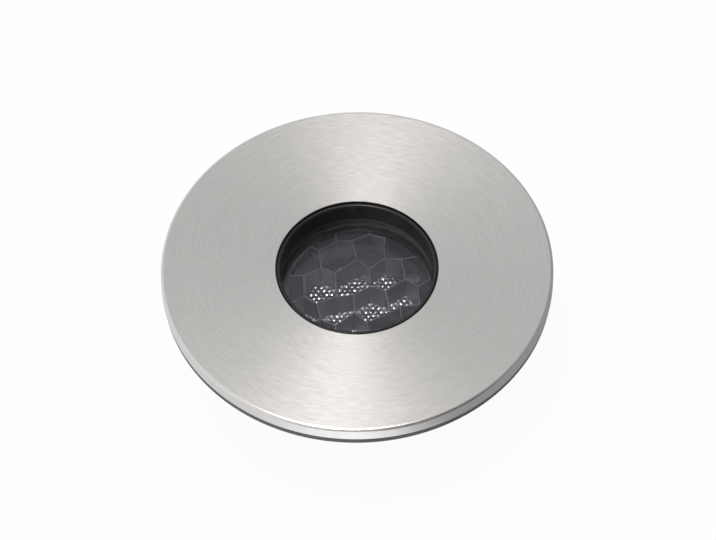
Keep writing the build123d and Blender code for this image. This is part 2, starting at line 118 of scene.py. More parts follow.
WEB_FOOT = LOUVRE_LOW + 1.2
PACKING_R = 23.7
PACKING_Z = (LOUVRE_HIGH + 0.02, LOUVRE_HIGH + 0.18)
PACKING_SIDES = 128

LENS_R = 17.35
LENS_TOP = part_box("quad_lens")[1].z / MM
LENS_DISC = 1.5
LENS_EDGE = 0.2
LENS_FOOT = LENS_TOP - 9.1
BOARD_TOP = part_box("led_board")[1].z / MM
CONE_OFFSET = 7.35
CONE_FOOT_R = 3.4
CONE_TOP_R = 6.85
CONE_SIDES = 72
POCKET_R = 2.3
POCKET_TOP = LENS_FOOT + 3.5
LEG_R = 1.2
LEG_CIRCLE_R = 13.5
LEG_SIDES = 24
BEAD_PITCH = 1.6
BEAD_ROW = BEAD_PITCH * 0.866
BEAD_HEIGHT = 0.24
BEAD_STRAY = 0.16
STRAY_X = (5.1, 3.3, 0.0)  # waves that the beads stray by: radians for each millimetre of x and of y, and
STRAY_Y = (-2.7, 4.3, 1.0)  # at the axis
BEAD_GRID = 0.14
BEAD_FIELD_R = 15.9
BEAD_R = BEAD_PITCH / sqrt(3)
BEAD_OVERREACH = 1.1  # between beads that stray apart, their curve goes on to this share of their radius
BALL_R = (BEAD_R**2 + BEAD_HEIGHT**2) / 2 / BEAD_HEIGHT  # the ball that each bead is a cap of

PANE_EDGE = 0.5
PANE_FILM = 0.06
PANE_SIDES = 128

MERGE = 0.0001  # points closer than this are one


# ---------------------------------------------------------------- node helpers
def node(tree, kind, inputs=None, **settings):
    """A shader node with its settings; each input named is linked to a socket or set to a value."""
    made = tree.nodes.new("ShaderNode" + kind)
    for key, value in settings.items():
        setattr(made, key, value)
    for key, value in (inputs or {}).items():
        socket = made.inputs[key]
        if isinstance(value, bpy.types.NodeSocket):
            tree.links.new(value, socket)
        else:
            socket.default_value = value
    return made


def calc(tree, operation, a, b=None):
    inputs = {0: a} if b is None else {0: a, 1: b}
    return node(tree, "Math", inputs, operation=operation).outputs[0]


def mixture(tree, first, second, share):
    """A share of the first value and the rest of the second."""
    parts = [calc(tree, "MULTIPLY", first, share), calc(tree, "MULTIPLY", second, 1 - share)]
    return calc(tree, "ADD", *parts)


def spread(tree, value, low, high, to_low=0.0, to_high=1.0):
    """Maps low..high to to_low..to_high, smoothly, and holds it at both ends."""
    inputs = {"Value": value, "From Min": low, "From Max": high, "To Min": to_low, "To Max": to_high}
    return node(tree, "MapRange", inputs, interpolation_type="SMOOTHSTEP").outputs["Result"]


def blend_colour(tree, factor, first, second):
    made = node(tree, "Mix", {"Factor": factor}, data_type="RGBA")
    for socket, value in zip([s for s in made.inputs if s.type == "RGBA"], (first, second)):
        if isinstance(value, bpy.types.NodeSocket):
            tree.links.new(value, socket)
        else:
            socket.default_value = value
    return next(s for s in made.outputs if s.type == "RGBA")


def grey(level, warmth=0.0):
    return (level * (1 + warmth), level, level * (1 - warmth), 1.0)


def steel(level):
    return (level * 1.014, level, level * 0.978, 1.0)


def noise(tree, vector, scale, detail, roughness=0.5):
    inputs = {"Vector": vector, "Scale": scale, "Detail": detail, "Roughness": roughness}
    return node(tree, "TexNoise", inputs).outputs["Fac"]


def bump(tree, height, strength, depth):
    inputs = {"Height": height, "Strength": strength, "Distance": depth * MM}
    return node(tree, "Bump", inputs).outputs["Normal"]


def cleared_tree(owner):
    """The node tree of a new material or world, emptied."""
    owner.use_nodes = True
    owner.node_tree.nodes.clear()
    return owner.node_tree


def material(name):
    made = bpy.data.materials.new(name)
    tree = cleared_tree(made)
    shader = node(tree, "BsdfPrincipled")
    out = node(tree, "OutputMaterial")
    tree.links.new(shader.outputs[0], out.inputs["Surface"])
    return made, tree, shader


def link(tree, value, shader, socket):
    tree.links.new(value, shader.inputs[socket])


def place(tree):
    """Where a point is, in the row frame, in millimetres."""
    coords = node(tree, "TexCoord").outputs["Object"]
    return node(tree, "VectorMath", {0: coords, "Scale": 1 / MM}, operation="SCALE").outputs[0]


# ---------------------------------------------------------------- materials
NOISE_BAND = (0.3, 0.7)  # the range that most of a noise's values lie in
NOISE_WIDE = (0.25, 0.75)

STEEL_DARK = steel(0.755 * 0.92)
STEEL_LIGHT = steel(0.755 * 1.08)
STEEL_ROUGHNESS = (0.36, 0.44)
RIM_PAINTED_HIGHLIGHT = grey(0.98, 0.012)
RIM_SMOOTHER = 0.06
BORE_PAINTED_SHADE = grey(0.10)
FINE_RINGS = (6.5, 13.0)  # rings in a millimetre, and arcs in a turn
BROAD_RINGS = (4.5, 3.0)
FINE_SHARE = 0.6
RING_BUMP = (0.20, 0.012)  # its strength and its height
BORE_SHADE_ENDS = (TRIM_BORE_R + 0.02, TRIM_BORE_R + 0.08)  # the radii between which the painted shade on the hole's wall ends
RINGS_FADE = (TRIM_R - 1.5, TRIM_R - 1.2)  # the turning lines stop short of the rounding,
SMOOTH_STARTS = (TRIM_R - 1.3, TRIM_R - 0.9)  # which is smoother,
RIM_HIGHLIGHT_STARTS = (TRIM_R - 1.0, TRIM_R - 0.4)  # and the rim is painted brighter as well, a painted highlight


def turned_steel(name):
    """Stainless steel, turned on a lathe: fine rings round Z, with brighter and darker arcs in them. The
    hole's wall is painted dark as painted shade, and the rim painted brighter as a painted highlight.
    """
    made, tree, shader = material(name)
    spot = place(tree)
    axes = node(tree, "SeparateXYZ", {0: spot}).outputs
    squares = [calc(tree, "POWER", axes[0], 2.0), calc(tree, "POWER", axes[1], 2.0)]
    radius = calc(tree, "SQRT", calc(tree, "ADD", *squares))
    turn_x = calc(tree, "DIVIDE", axes[0], radius)
    turn_y = calc(tree, "DIVIDE", axes[1], radius)

    def arcs(rings_per_mm, arcs_per_turn):
        along = node(tree, "CombineXYZ", {
            0: calc(tree, "MULTIPLY", radius, rings_per_mm),
            1: calc(tree, "MULTIPLY", turn_x, arcs_per_turn),
            2: calc(tree, "MULTIPLY", turn_y, arcs_per_turn),
        }).outputs[0]
        return noise(tree, along, 1.0, 2.0)

    fine = arcs(*FINE_RINGS)
    mark = mixture(tree, fine, arcs(*BROAD_RINGS), FINE_SHARE)
    face = blend_colour(tree, spread(tree, mark, *NOISE_BAND), STEEL_DARK, STEEL_LIGHT)
    # painted shade: the hole's wall is painted near black
    face = blend_colour(tree, spread(tree, radius, *BORE_SHADE_ENDS), BORE_PAINTED_SHADE, face)
    # painted highlight: the rim is painted brighter
    face = blend_colour(tree, spread(tree, radius, *RIM_HIGHLIGHT_STARTS), face, RIM_PAINTED_HIGHLIGHT)
    link(tree, face, shader, "Base Color")
    rough = spread(tree, fine, *NOISE_WIDE, *STEEL_ROUGHNESS)
    smoother = spread(tree, radius, *SMOOTH_STARTS, 0.0, RIM_SMOOTHER)
    link(tree, calc(tree, "SUBTRACT", rough, smoother), shader, "Roughness")
    depth = spread(tree, radius, *RINGS_FADE, 1.0, 0.0)
    link(tree, bump(tree, calc(tree, "MULTIPLY", mark, depth), *RING_BUMP), shader, "Normal")
    shader.inputs["Metallic"].default_value = 1.0
    shader.inputs["Anisotropic"].default_value = 0.60
    shader.inputs["Anisotropic Rotation"].default_value = 0.25
    tangent = node(tree, "Tangent", direction_type="RADIAL", axis="Z").outputs[0]
    link(tree, tangent, shader, "Tangent")
    return made


METAL_CLOUD = 0.12  # how many clouds there are for each grain, along a line
METAL_BUMP = (0.15, 0.008)


def plain_metal(name, dark, light, roughness, grain_per_mm, stretch=(1, 1, 1)):
    """Bare or plated metal with a fine grain, which may be stretched along its rolling direction."""
    made, tree, shader = material(name)
    spot = node(tree, "VectorMath", {0: place(tree), 1: stretch}, operation="MULTIPLY").outputs[0]
    fine = noise(tree, spot, grain_per_mm, 4.0)
    cloud = noise(tree, spot, grain_per_mm * METAL_CLOUD, 2.0)
    mark = mixture(tree, fine, cloud, 0.5)
    link(tree, blend_colour(tree, spread(tree, mark, *NOISE_BAND), dark, light), shader, "Base Color")
    link(tree, spread(tree, fine, *NOISE_WIDE, roughness - 0.05, roughness + 0.07), shader, "Roughness")
    link(tree, bump(tree, fine, *METAL_BUMP), shader, "Normal")
    shader.inputs["Metallic"].default_value = 1.0
    return made


COAT_CLOUDS_PER_MM = 0.09
PEBBLE_SHARE = 0.35
PEBBLE_BUMP = 0.5
UPWARD_PAINTED_LIGHT = (0.2, 0.6)  # the upward part of a face's normal, where the painted light or shade on upward faces starts and ends


def matt_black(name, dark, light, roughness, grain, grain_depth, specular=0.5, top=1.0):
    """Powder coat, anodising, rubber or moulding: black with a fine pebbled grain and slight clouding.

    Faces that look up may be scaled darker or lighter by top: painted shade or a painted highlight,
    standing in for how light falls on them.
    """
    made, tree, shader = material(name)
    spot = place(tree)
    pebble = noise(tree, spot, 1 / grain, 2.0, 0.6)
    cloud = noise(tree, spot, COAT_CLOUDS_PER_MM, 3.0)
    shade = mixture(tree, pebble, cloud, PEBBLE_SHARE)
    coat = blend_colour(tree, spread(tree, shade, *NOISE_BAND), dark, light)
    # painted light or shade: faces that look up are scaled darker or lighter by top
    if top != 1.0:
        normal = node(tree, "NewGeometry").outputs["True Normal"]
        upward = node(tree, "SeparateXYZ", {0: normal}).outputs[2]
        share = spread(tree, upward, *UPWARD_PAINTED_LIGHT, 1.0, top)
        coat = node(tree, "VectorMath", {0: coat, "Scale": share}, operation="SCALE").outputs[0]
    link(tree, coat, shader, "Base Color")
    link(tree, spread(tree, cloud, *NOISE_BAND, roughness - 0.05, roughness + 0.06), shader, "Roughness")
    link(tree, bump(tree, pebble, PEBBLE_BUMP, grain_depth), shader, "Normal")
    shader.inputs["Specular IOR Level"].default_value = specular
    return made


SMEARS_PER_MM = 0.25
SMEAR_DIMMING = 0.98
SMEAR_TINTS = (0.35, 0.65)  # the noise's values between which a smear starts to tint the clear solid,
SMEAR_HAZES = (0.4, 0.8)  # and to haze it
MIRROR_IOR = 3.8
MIRROR_ROUGHNESS = 0.08
GLINT_TINT = (0.96, 0.92, 1.0, 1.0)


def clear_solid(name, ior, tint, haze, coat=0.0, metallised=0.0):
    """Glass or clear plastic, faintly smeared; it may have a mirror coat."""
    made, tree, shader = material(name)
    smear = noise(tree, place(tree), SMEARS_PER_MM, 3.0)
    dimmed = [c * SMEAR_DIMMING for c in tint[:3]] + [1]
    link(tree, blend_colour(tree, spread(tree, smear, *SMEAR_TINTS), tint, dimmed), shader, "Base Color")
    link(tree, spread(tree, smear, *SMEAR_HAZES, 0.0, haze), shader, "Roughness")
    shader.inputs["Transmission Weight"].default_value = 1.0
    shader.inputs["IOR"].default_value = ior
    shader.inputs["Coat Weight"].default_value = coat
    shader.inputs["Metallic"].default_value = metallised
    shader.inputs["Coat IOR"].default_value = MIRROR_IOR
    shader.inputs["Coat Roughness"].default_value = MIRROR_ROUGHNESS
    shader.inputs["Specular Tint"].default_value = GLINT_TINT
    return made


TINTED_GRAIN = 0.4
TINTED_CLOUDS_PER_MM = 0.15
TINTED_BUMP = (0.3, 0.01)


def tinted(name, dark, light, roughness):
    """Coloured plastic, solder mask or silicone."""
    made, tree, shader = material(name)
    spot = place(tree)
    pebble = noise(tree, spot, 1 / TINTED_GRAIN, 2.0)
    cloud = noise(tree, spot, TINTED_CLOUDS_PER_MM, 3.0)
    link(tree, blend_colour(tree, spread(tree, cloud, *NOISE_BAND), dark, light), shader, "Base Color")
    link(tree, spread(tree, pebble, *NOISE_BAND, roughness - 0.04, roughness + 0.06), shader, "Roughness")
    link(tree, bump(tree, pebble, *TINTED_BUMP), shader, "Normal")
    return made


MATERIALS = {
    "turned_stainless": turned_steel("turned_stainless"),
    "stainless_hardware": plain_metal("stainless_hardware", grey(0.20), grey(0.30), 0.50, 3.0),
    "spring_steel": plain_metal("spring_steel", grey(0.44), grey(0.60), 0.30, 2.5, stretch=(1, 1, 0.15)),
    "gasket_foam": matt_black("gasket_foam", grey(0.16), grey(0.21), 0.85, 0.35, 0.06, specular=0.3),
    "black_rubber": matt_black("black_rubber", grey(0.030), grey(0.045), 0.55, 0.5, 0.02),
    "grey_silicone": matt_black("grey_silicone", grey(0.13), grey(0.17), 0.45, 0.5, 0.01),
    "black_casting": matt_black("black_casting", grey(0.028), grey(0.044), 0.50, 0.35, 0.045),
    "black_anodised": matt_black(
        "black_anodised", grey(0.027), grey(0.033), 0.32, 0.2, 0.003,
        # top=0.65: the upward faces are painted darker, a painted shade
        specular=0.35, top=0.65,
    ),
    "louvre_black": matt_black(
        "louvre_black", (0.085, 0.082, 0.106, 1), (0.110, 0.107, 0.136, 1), 0.22, 0.6, 0.005,
        # top=1.6: the upward faces, the walls' top edges among them, are painted lighter, a painted
        # highlight
        specular=0.22, top=1.6,
    ),
    "black_moulding": matt_black(
        "black_moulding", (0.046, 0.045, 0.054, 1), (0.058, 0.057, 0.068, 1), 0.45, 0.3, 0.01,
    ),
    "clear_glass": clear_solid("clear_glass", 1.52, (0.98, 0.985, 1.0, 1), 0.02),
    "clear_optic": clear_solid("clear_optic", 1.49, (0.62, 0.62, 0.65, 1), 0.03, coat=1.0, metallised=0.7),
    "led_phosphor": tinted("led_phosphor", (0.62, 0.56, 0.40, 1), (0.68, 0.63, 0.47, 1), 0.35),
    "black_board": tinted("black_board", grey(0.045), grey(0.06), 0.40),
    "thermal_silicone": tinted("thermal_silicone", (0.30, 0.36, 0.42, 1), (0.38, 0.44, 0.50, 1), 0.70),
    "white_moulding": tinted("white_moulding", grey(0.66, 0.02), grey(0.74, 0.02), 0.45),
    "red_insulation": tinted("red_insulation", (0.35, 0.010, 0.008, 1), (0.45, 0.020, 0.015, 1), 0.38),
    "black_insulation": matt_black("black_insulation", grey(0.012), grey(0.02), 0.40, 0.5, 0.01),
    "nickel_plate": plain_metal("nickel_plate", grey(0.54, 0.05), grey(0.64, 0.05), 0.28, 1.2),
}
SLOT_OF = {s["node"]: s["material_slot"] for s in frame["record"]["subparts"]}


def dress(piece, slot):
    piece.data.materials.clear()
    piece.data.materials.append(MATERIALS[slot])


# ---------------------------------------------------------------- mesh helpers
def mesh_piece(name, points, faces, slot, body, sharp_deg=35.0):
    """A piece from points in millimetres, shaded smooth up to an angle, riding on a body."""
    mesh = bpy.data.meshes.new(name)
    mesh.from_pydata([(x * MM, y * MM, z * MM) for x, y, z in points], [], faces)
    shell = bmesh.new()
    shell.from_mesh(mesh)
    bmesh.ops.remove_doubles(shell, verts=shell.verts, dist=MERGE * MM)
    bmesh.ops.recalc_face_normals(shell, faces=shell.faces)
    shell.to_mesh(mesh)
    shell.free()
    return finished_piece(name, mesh, slot, body, sharp_deg)


def added(name, data):
    """A new object in the scene."""
    made = bpy.data.objects.new(name, data)
    bpy.context.scene.collection.objects.link(made)
    return made


def finished_piece(name, mesh, slot, body, sharp_deg):
    mesh.shade_smooth()
    mesh.set_sharp_from_angle(angle=radians(sharp_deg))
    piece = added(name, mesh)
    dress(piece, slot)
    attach(piece, body)
    return piece


def lathed(profile, count):
    """Points and faces of a profile turned about Z; both its ends lie on the axis."""
    points = [(0.0, 0.0, profile[0][1]), (0.0, 0.0, profile[-1][1])]
    inner = profile[1:-1]
    for n in range(count):
        turn = 2 * pi * n / count
        points += [(r * cos(turn), r * sin(turn), z) for r, z in inner]
    rows = len(inner)
    faces = []
    for n in range(count):
        here, there = 2 + n * rows, 2 + (n + 1) % count * rows
        faces.append((0, here, there))
        faces += [(here + k, here + k + 1, there + k + 1, there + k) for k in range(rows - 1)]
        faces.append((1, there + rows - 1, here + rows - 1))
    return points, faces


def lathed_ring(profile, count):
    """Points and faces of a closed profile turned about Z, clear of the axis."""
    points = []
    for n in range(count):
        turn = 2 * pi * n / count
        points += [(r * cos(turn), r * sin(turn), z) for r, z in profile]
    rows = len(profile)
    faces = []
    for n in range(count):
        here, there = n * rows, (n + 1) % count * rows
        for k in range(rows):
            up = (k + 1) % rows
            faces.append((here + k, here + up, there + up, there + k))
    return points, faces


def arc(middle_r, middle_z, radius, start_deg, end_deg, steps):
    """Points of a profile's rounding."""
    turns = [radians(start_deg + (end_deg - start_deg) * n / steps) for n in range(steps + 1)]
    return [(middle_r + radius * cos(t), middle_z + radius * sin(t)) for t in turns]


# ---------------------------------------------------------------- trim and glass
def make_trim():
    """The drawn disc, turned finely enough for its rounding to show one clean line of light."""
    under = TRIM_TOP - TRIM_SHEET
    wall_r = TRIM_R - TRIM_SHEET
    profile = [(wall_r, TRIM_FOOT), (TRIM_R, TRIM_FOOT), (TRIM_R, TRIM_TOP - TRIM_EDGE_R - TRIM_STRIP)]
    profile += arc(TRIM_R - TRIM_EDGE_R, TRIM_TOP - TRIM_EDGE_R, TRIM_EDGE_R, 0, 90, EDGE_STEPS)
    profile += [
        (TRIM_R - TRIM_EDGE_R - TRIM_STRIP, TRIM_TOP),
        (TRIM_BORE_R + TRIM_BORE_EDGE, TRIM_TOP),
        (TRIM_BORE_R, TRIM_TOP - TRIM_BORE_EDGE),
        (TRIM_BORE_R, under),
        (wall_r - TRIM_CORNER_R - TRIM_STRIP, under),
    ]
    profile += arc(wall_r - TRIM_CORNER_R, under - TRIM_CORNER_R, TRIM_CORNER_R, 90, 0, CORNER_STEPS)
    points, faces = lathed_ring(profile, TRIM_SIDES)
    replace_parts(mesh_piece("trim_plate", points, faces, "turned_stainless", "trim", 30), "trim_cover")


def make_pane():
    """The glass, with a film of air between it and the ring it lies on."""
    foot, high = (corner.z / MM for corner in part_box("glass_pane"))
    low = foot + PANE_FILM
    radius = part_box("glass_pane")[1].x / MM
    profile = [
        (0.0, high), (radius - PANE_EDGE, high), (radius, high - PANE_EDGE),
        (radius, low + PANE_EDGE), (radius - PANE_EDGE, low), (0.0, low),
    ]
    points, faces = lathed(profile, PANE_SIDES)
    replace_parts(mesh_piece("window", points, faces, "clear_glass", "light_body", 30), "glass_pane")


# ---------------------------------------------------------------- honeycomb louvre
def strayed(x, y):
    """A joint's own place, from its place on the lattice."""
    for joint, offset in JOINTS:
        if hypot(x - joint[0], y - joint[1]) < JOINT_SPAN:
            return x + offset[0], y + offset[1]
    return x, y


def louvre_outlines():
    """The corners of each cell, on the walls' middle lines, from the light's axis."""
    tilt = radians(CELL_UPRIGHT_TILT)
    half = Vector((cos(tilt), sin(tilt))) * CELL_UPRIGHT / 2
    for row in CELL_REACH:
        for column in CELL_REACH:
            start = CELL_START + CELL_ROW * (column + 0.5 * (row % 2)) + CELL_STEP * row
            far = start + CELL_ROW
            peak = start + CELL_ROW / 2 - CELL_STEP - half
            foot = start + CELL_ROW / 2 + CELL_STEP + half
            corners = [start - half, start + half, peak, far + half, far - half, foot]
            middle = (start + far) / 2
            if hypot(middle.x, middle.y) < LOUVRE_BORE_R + CELL_UPRIGHT:
                yield [strayed(c.x, c.y) for c in corners]


def signed_area(loop):
    """The area of a closed loop, below zero where it runs clockwise."""
    return sum(loop[i - 1][0] * loop[i][1] - loop[i][0] * loop[i - 1][1] for i in range(len(loop))) / 2


def drawn_in(outline, amount):
    """A convex outline with every side moved inwards by an amount."""
    count = len(outline)
    side = 1 if signed_area(outline) > 0 else -1
    lines = []
    for i in range(count):
        a, b = Vector(outline[i]), Vector(outline[(i + 1) % count])
        along = (b - a).normalized()
        inwards = Vector((-along.y, along.x)) * side
        lines.append((a + inwards * amount, along))
    result = []
    for i in range(count):
        (p, d), (q, e) = lines[i - 1], lines[i]
        cross = d.x * e.y - d.y * e.x
        step = ((q.x - p.x) * e.y - (q.y - p.y) * e.x) / cross
        result.append(p + d * step)
    return result


def louvre_turns():
    """The directions of the louvre's outer sides."""
    return [2 * pi * (n + 0.5) / LOUVRE_SIDES for n in range(LOUVRE_SIDES)]


def clipped_to_ring(outline, radius):
    """The part of a convex outline that lies within a circle about the louvre's middle."""
    shape = [Vector(p) for p in outline]
    middle = Vector((LOUVRE_SHIFT, 0))
    for angle in louvre_turns():
        outwards = Vector((cos(angle), sin(angle)))
        kept = []
        for i in range(len(shape)):
            a, b = shape[i - 1], shape[i]
            past_a = (a - middle).dot(outwards) - radius
            past_b = (b - middle).dot(outwards) - radius
            if past_a * past_b < 0:
                kept.append(a.lerp(b, past_a / (past_a - past_b)))
            if past_b <= 0:
                kept.append(b)
        shape = kept
        if len(shape) < 3:
            return []
    return shape


def filled_round(boundary, holes, z):
    """A flat face inside a boundary and outside the holes, as points and triangles."""
    only_inside = 1
    points, edges = [], []
    for loop in [boundary] + holes:
        first = len(points)
        points += [Vector(p) for p in loop]
        edges += [(first + i, first + (i + 1) % len(loop)) for i in range(len(loop))]
    flat, _, faces, _, _, _ = delaunay_2d_cdt(points, edges, [], only_inside, 1e-6)
    kept = []
    for face in faces:
        middle = sum((flat[i] for i in face), Vector((0, 0))) / len(face)
        if not any(inside(middle, hole) for hole in holes):
            kept.append(face)
    return [(p.x, p.y, z) for p in flat], kept


def inside(point, outline):
    """Whether a point lies inside an outline, by how many of its sides lie to the point's right."""
    odd = False
    for i in range(len(outline)):
        a, b = outline[i - 1], outline[i]
        if (a[1] > point[1]) != (b[1] > point[1]):
            if point[0] < a[0] + (point[1] - a[1]) * (b[0] - a[0]) / (b[1] - a[1]):
                odd = not odd
    return odd


def make_louvre():
    """The louvre's folded strips in one piece, with their top edges rounded."""
    rim_r = LOUVRE_BORE_R - LOUVRE_PLAY
    rim = [(LOUVRE_SHIFT + rim_r * cos(t), rim_r * sin(t)) for t in louvre_turns()]
    bend = CELL_EDGE * CELL_EDGE_BEND
    levels = [  # height, and how much wider the opening is there than between the walls' faces
        (LOUVRE_HIGH, CELL_EDGE),
        (LOUVRE_HIGH - bend, bend),
        (LOUVRE_HIGH - CELL_EDGE, 0.0),
        (WEB_FOOT, 0.0),
    ]
    cells = []
    for outline in louvre_outlines():
        loops = [
            clipped_to_ring(drawn_in(outline, CELL_WALL / 2 - wider), rim_r - CELL_MARGIN + wider)
            for _, wider in levels
        ]
        if min(abs(signed_area(loop)) for loop in loops) > CELL_LEAST_AREA:
            cells.append(loops)
    points, faces = [], []
    for loops in cells:
        for (height, _), (lower, _), loop, below in zip(levels, levels[1:], loops, loops[1:]):
            join_loops(points, faces, loop, height, below, lower)
    for index in (0, -1):
        flat, tris = filled_round(rim, [loops[index] for loops in cells], levels[index][0])
        first = len(points)
        points += flat
        faces += [tuple(first + i for i in t) for t in tris]
    join_loops(points, faces, rim, LOUVRE_HIGH, rim, WEB_FOOT)
    louvre = mesh_piece("honeycomb", points, faces, "louvre_black", "light_body", 18)
    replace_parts(louvre, "honeycomb_core")


def make_louvre_packing():
    """A thin ring that fills the louvre's play in its sleeve, on one side more than on the other."""
    turns = [2 * pi * n / PACKING_SIDES for n in range(PACKING_SIDES)]
    outer = [(PACKING_R * cos(t), PACKING_R * sin(t)) for t in turns]
    inner = [(LOUVRE_SHIFT + LOUVRE_BORE_R * cos(t), LOUVRE_BORE_R * sin(t)) for t in turns]
    low, high = PACKING_Z
    points, faces = [], []
    for (upper, upper_z), (lower, lower_z) in (
        ((outer, high), (outer, low)),
        ((outer, low), (inner, low)),
        ((inner, low), (inner, high)),
        ((inner, high), (outer, high)),
    ):
        join_loops(points, faces, upper, upper_z, lower, lower_z)
    mesh_piece("louvre_packing", points, faces, "black_rubber", "light_body")


def join_loops(points, faces, upper, upper_z, lower, lower_z):
    """The wall between two closed loops, which may differ in their number of points."""
    first = len(points)
    points += [(p[0], p[1], upper_z) for p in upper] + [(p[0], p[1], lower_z) for p in lower]
    n, m = len(upper), len(lower)
    if n == m:
        for i in range(n):
            j = (i + 1) % n
            faces.append((first + i, first + j, first + n + j, first + n + i))
        return
    start = min(range(m), key=lambda k: (Vector(lower[k]) - Vector(upper[0])).length)
    i = j = 0
    while i < n or j < m:
        a, b = upper[i % n], lower[(start + j) % m]
        a_next, b_next = upper[(i + 1) % n], lower[(start + j + 1) % m]
        along_a = (Vector(a_next) - Vector(b)).length if i < n else inf
        along_b = (Vector(b_next) - Vector(a)).length if j < m else inf
        low_now = first + n + (start + j) % m
        if along_a <= along_b:
            faces.append((first + i % n, first + (i + 1) % n, low_now))
            i += 1
        else:
            faces.append((first + i % n, first + n + (start + j + 1) % m, low_now))
            j += 1


# ---------------------------------------------------------------- beaded lens
def bead_places():
    """Middles of the beads: a close packing, each bead a little off its place."""
    rows = int(LENS_R / BEAD_ROW) + 1
    for row in range(-rows, rows + 1):
        for column in range(-rows - 2, rows + 3):
            x = BEAD_PITCH * (column + 0.5 * (row % 2))
            y = BEAD_ROW * row
            yield x + stray(x, y, *STRAY_X), y + stray(x, y, *STRAY_Y)


def stray(x, y, per_x, per_y, start):
    return BEAD_STRAY * sin(per_x * x + per_y * y + start)


def bead_finder():
    """A search tree of the beads' middles."""
    beads = list(bead_places())
    finder = KDTree(len(beads))
    for number, (x, y) in enumerate(beads):
        finder.insert((x, y, 0), number)
    finder.balance()
    return finder


def lens_height(finder, x, y):
    """The height of the lens's top at a place: on a bead, or on the plain border round them."""
    if hypot(x, y) > BEAD_FIELD_R:
        return LENS_TOP - BEAD_HEIGHT
    off = min(finder.find((x, y, 0))[2], BEAD_R * BEAD_OVERREACH)
    return LENS_TOP - BALL_R + sqrt(BALL_R**2 - off**2)


def add_beaded_top(shell):
    """Adds a fine grid of faces over the lens, up to its edge."""
    finder = bead_finder()
    across = int(2 * LENS_R / BEAD_GRID) + 1
    grid = {}
    for i in range(across + 1):
        for j in range(across + 1):
            x = i * BEAD_GRID - LENS_R
            y = j * BEAD_GRID - LENS_R
            if hypot(x, y) < LENS_R - LENS_EDGE:
                grid[i, j] = shell.verts.new((x, y, lens_height(finder, x, y)))
    for i, j in grid:
        corners = [(i, j), (i + 1, j), (i + 1, j + 1), (i, j + 1)]
        if all(c in grid for c in corners):
            shell.faces.new([grid[c] for c in corners])
    bmesh.ops.delete(shell, geom=[v for v in shell.verts if not v.link_faces], context="VERTS")


def make_lens():
    """The lens in one shell: a disc with beads on top, and four hollow cones and four legs under it."""
    shell = bmesh.new()
    add_beaded_top(shell)
    disc_foot = LENS_TOP - LENS_DISC
    rim = [e for e in shell.edges if e.is_boundary]
    for height in (LENS_TOP - BEAD_HEIGHT - LENS_EDGE, disc_foot):
        rim = drawn_out(shell, rim, onto_circle(Vector((0, 0, 0)), LENS_R, height))
    edges = list(rim)
    cones = []
    legs = []
    for x in (-CONE_OFFSET, CONE_OFFSET):
        for y in (-CONE_OFFSET, CONE_OFFSET):
            cones.append((Vector((x, y, 0)), circle_of(shell, x, y, disc_foot, CONE_TOP_R, CONE_SIDES)))
    for x, y in ((1, 0), (0, 1), (-1, 0), (0, -1)):
        legs.append(circle_of(shell, x * LEG_CIRCLE_R, y * LEG_CIRCLE_R, disc_foot, LEG_R, LEG_SIDES))
    for loop in [c[1] for c in cones] + legs:
        edges += loop
    bmesh.ops.triangle_fill(shell, use_beauty=True, edges=edges)
    for middle, loop in cones:
        for radius, height in ((CONE_FOOT_R, LENS_FOOT), (POCKET_R, LENS_FOOT), (POCKET_R, POCKET_TOP)):
            loop = drawn_out(shell, loop, onto_circle(middle, radius, height))
        bmesh.ops.contextual_create(shell, geom=loop)
    for loop in legs:
        loop = drawn_out(shell, loop, lambda p: Vector((p.x, p.y, BOARD_TOP)))
        bmesh.ops.contextual_create(shell, geom=loop)
    for vert in shell.verts:
        vert.co *= MM
    bmesh.ops.recalc_face_normals(shell, faces=shell.faces)
    mesh = bpy.data.meshes.new("beaded_lens")
    shell.to_mesh(mesh)
    shell.free()
    lens = finished_piece("beaded_lens", mesh, "clear_optic", "light_body", 40)
    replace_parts(lens, "quad_lens")


def circle_of(shell, x, y, z, radius, count):
    """A closed loop of edges in a shell."""
    turns = [2 * pi * n / count for n in range(count)]
    verts = [shell.verts.new((x + radius * cos(t), y + radius * sin(t), z)) for t in turns]
    return [shell.edges.new((verts[n - 1], verts[n])) for n in range(count)]


def onto_circle(middle, radius, height):
    """A function that moves a point outwards or inwards onto a level circle."""
    def moved(point):
        outwards = (point - middle).to_2d().normalized()
        return middle + (outwards * radius).to_3d() + Vector((0, 0, height))
    return moved


def drawn_out(shell, edges, moved):
    """Extrudes a loop of edges and moves its new points; gives the new loop."""
    grown = bmesh.ops.extrude_edge_only(shell, edges=edges)["geom"]
    fresh = {g for g in grown if isinstance(g, bmesh.types.BMVert)}
    for vert in fresh:
        vert.co = moved(vert.co.copy())
    return [g for g in grown if isinstance(g, bmesh.types.BMEdge) and all(v in fresh for v in g.verts)]


# ---------------------------------------------------------------- camera
CAMERA_ELEVATION = 54.65
CAMERA_DISTANCE = 1524.0
CAMERA_FOCAL_PX = 4987.0
CAMERA_ROLL = -1.0
IMAGE_WIDTH_PX = 716
CENTRE_SHIFT_PX = (0.95, 2.87)  # the image's centre lies this far right of and below the trim's centre
SENSOR_MM = 36.0


